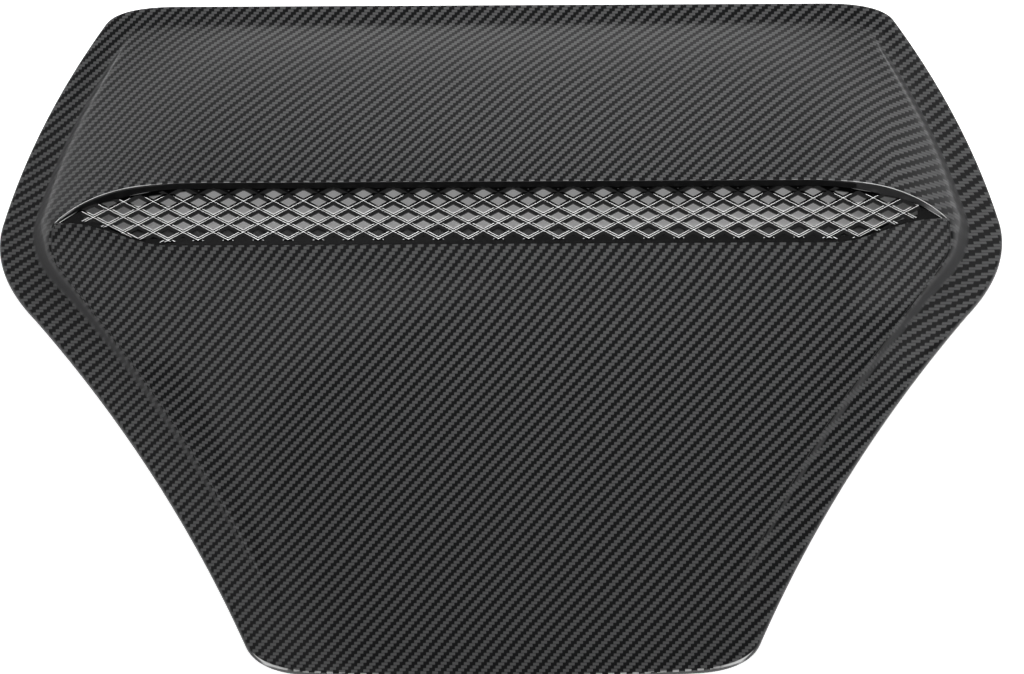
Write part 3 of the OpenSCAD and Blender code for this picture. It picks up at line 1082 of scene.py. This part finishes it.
# The cards show in gloss alone
GLOSS_CARDS = {
    "front gloss card": ((0, -2.4, 0.42), (0, 0, 0), (1.6, 0.5), 6),
    "right back haze card": ((0.56, 0.86, 1.0), (0.25, 0.1, 0), (0.56, 0.5), 0.33),
    "right front haze card": ((0.53, 0.16, 1.0), (0.25, 0.1, 0), (0.6, 0.44), 0.3),
    "left haze card": ((-0.5, 0.55, 1.0), (-0.25, 0.1, 0), (0.6, 1.1), 0.35),
}
# The strand lights show in the gloss of the mesh's strands alone
STRAND_LIGHTS = {
    "mesh crest light": ((0, -0.145, 2.31), (0, 0.055, 0), (1.0, 0.22), 34),
    "mesh rim light": ((0, 0.67, 2.31), (0, 0.055, 0), (1.7, 0.3), 58),
}
# The picture's size, and where the origin lies in it, in pixels
PICTURE_W, PICTURE_H = 1024, 674
ORIGIN_X, ORIGIN_Y = 501.4, 328.7


def seen_rays(tree):
    """1 for the rays of cameras, gloss and glass, 0 for those that light the object."""
    path = tree.nodes.new("ShaderNodeLightPath").outputs
    seen = math_node(tree, "MAXIMUM", path["Is Camera Ray"], path["Is Glossy Ray"])
    return math_node(tree, "MAXIMUM", seen, path["Is Transmission Ray"])


def stage_world(scene):
    """Even light, shown as a dim sky over a bright horizon, and as plain white behind the floor."""
    world = bpy.data.worlds.new("studio")
    scene.world = world
    world.use_nodes = True
    tree = world.node_tree
    tree.nodes.clear()
    lit = tree.nodes.new("ShaderNodeBackground")
    lit.inputs["Color"].default_value = (1, 1, 1, 1)
    lit.inputs["Strength"].default_value = 0.05
    sky = tree.nodes.new("ShaderNodeValToRGB")
    ramp = sky.color_ramp.elements
    ramp.remove(ramp[-1])
    for place, level in SKY_LEVELS:
        stop = ramp[0] if place == SKY_LEVELS[0][0] else ramp.new(place)
        stop.position = place
        stop.color = (level, level, level, 1)
    way = split_xyz(tree, tree.nodes.new("ShaderNodeTexCoord").outputs["Generated"])
    tree.links.new(way[2], sky.inputs["Fac"])
    camera_ray = tree.nodes.new("ShaderNodeLightPath").outputs["Is Camera Ray"]
    shown = tree.nodes.new("ShaderNodeBackground")
    tree.links.new(mix_color(tree, camera_ray, sky.outputs["Color"], (1, 1, 1)), shown.inputs["Color"])
    blend = tree.nodes.new("ShaderNodeMixShader")
    for socket, value in zip(blend.inputs, (seen_rays(tree), lit.outputs[0], shown.outputs[0])):
        tree.links.new(value, socket)
    out = tree.nodes.new("ShaderNodeOutputWorld")
    tree.links.new(blend.outputs[0], out.inputs[0])


def stage_floor():
    """A pale floor that shows about white. Under the mesh it lies in the cover's shade, and its glow is
    turned down there too, as painted shade that darkens towards the mouth's ends.
    """
    half, drop, whiteness, mouth_y = 6.0, 0.0002, 0.85, 0.068
    corners = [(-half, -half, 0), (half, -half, 0), (half, half, 0), (-half, half, 0)]
    floor = add_piece("floor", corners, [(0, 1, 2, 3)])
    floor.location.z = -drop
    material, tree, shader = new_material("pale paper")
    shader.inputs["Base Color"].default_value = (0.82, 0.82, 0.82, 1)
    shader.inputs["Roughness"].default_value = 0.9
    shader.inputs["Specular IOR Level"].default_value = 0.1
    shader.inputs["Emission Color"].default_value = (1, 1, 1, 1)
    x, y, _ = split_xyz(tree, object_place(tree))
    along = math_node(tree, "ABSOLUTE", x)
    across = math_node(tree, "ABSOLUTE", math_node(tree, "SUBTRACT", y, mouth_y))
    # Painted shade: under the mesh the floor's glow falls from its whiteness to 0.24, and to 0.05 towards
    # the mouth's ends
    under = product(
        tree, map_range(tree, along, 0.21, 0.225, 1, 0), map_range(tree, across, 0.03, 0.045, 1, 0)
    )
    strength = mix_value(tree, under, whiteness, map_range(tree, along, 0.15, 0.21, 0.24, 0.05))
    tree.links.new(product(tree, seen_rays(tree), strength), shader.inputs["Emission Strength"])
    floor.data.materials.append(material)


def area_light(name, place, target, size, power):
    lamp = bpy.data.lights.new(name, "AREA")
    lamp.shape = "RECTANGLE"
    lamp.size, lamp.size_y = size
    lamp.energy = power
    holder = bpy.data.objects.new(name, lamp)
    holder.location = place
    holder.rotation_euler = (Vector(target) - Vector(place)).to_track_quat("-Z", "Y").to_euler()
    holder.visible_camera = False
    bpy.context.scene.collection.objects.link(holder)
    return holder


def stage_lamps():
    """The lamps, each kept out of the rays that it isn't for. They show to no camera."""
    boxes, cards, strand_lights = (
        [area_light(name, *values) for name, values in lamps.items()]
        for lamps in (SOFT_BOXES, GLOSS_CARDS, STRAND_LIGHTS)
    )
    boxes[0].data.spread = math.radians(105)
    for lamp in boxes:
        lamp.visible_glossy = False
    for lamp in cards + strand_lights:
        lamp.visible_diffuse = False
    receivers = bpy.data.collections.new("mesh strands")
    receivers.objects.link(bpy.data.objects["mesh_grille"])
    for lamp in strand_lights:
        lamp.light_linking.receiver_collection = receivers


def stage_camera(scene, stage):
    """The camera at the photograph's angle, shifted to its framing."""
    camera = bpy.data.objects.new("camera", bpy.data.cameras.new("camera"))
    scene.collection.objects.link(camera)
    camera.data.lens = stage.lens
    camera.data.sensor_width = 36
    camera.data.shift_x = (PICTURE_W / 2 - ORIGIN_X) / PICTURE_W
    camera.data.shift_y = (ORIGIN_Y - PICTURE_H / 2) / PICTURE_W
    camera.data.clip_end = 50
    seen_from = Vector((0, -math.cos(stage.elevation), math.sin(stage.elevation)))
    camera.location = seen_from * stage.distance
    facing = (-seen_from).to_track_quat("-Z", "Y").to_matrix().to_4x4()
    roll = Matrix.Rotation(-stage.roll, 4, "Z")
    camera.matrix_world = Matrix.Translation(camera.location) @ facing @ roll
    scene.camera = camera


class VENT_OT_stage(bpy.types.Operator):
    """Sets the pale floor, the soft lamps, the backdrop and the camera"""
    bl_idname = "vent.stage"
    bl_label = "Stage"

    def execute(self, context):
        scene = context.scene
        scene.view_settings.view_transform = "Standard"
        stage_world(scene)
        stage_floor()
        stage_lamps()
        stage_camera(scene, scene.vent_stage)
        return {"FINISHED"}


class VENT_PT_panel(bpy.types.Panel):
    """Lists the pieces of the bonnet vent"""
    bl_idname = "VENT_PT_panel"
    bl_label = "Bonnet vent"
    bl_space_type = "VIEW_3D"
    bl_region_type = "UI"
    bl_category = "Vent"

    def draw(self, context):
        for operator in OPERATORS:
            self.layout.operator(operator.bl_idname)


OPERATORS = (VENT_OT_cover, VENT_OT_mesh_insert, VENT_OT_stage)
SETTINGS = {
    "vent_cover": CoverSettings,
    "vent_film": FilmSettings,
    "vent_mesh": MeshSettings,
    "vent_stage": StageSettings,
}
CLASSES = (*SETTINGS.values(), *OPERATORS, VENT_PT_panel)


def register():
    for cls in CLASSES:
        bpy.utils.register_class(cls)
    for name, cls in SETTINGS.items():
        setattr(bpy.types.Scene, name, PointerProperty(type=cls))


def unregister():
    for name in SETTINGS:
        delattr(bpy.types.Scene, name)
    for cls in reversed(CLASSES):
        bpy.utils.unregister_class(cls)


def main():
    register()
    bpy.ops.vent.cover()
    bpy.ops.vent.mesh_insert()
    bpy.ops.vent.stage()


if __name__ == "__main__":
    main()
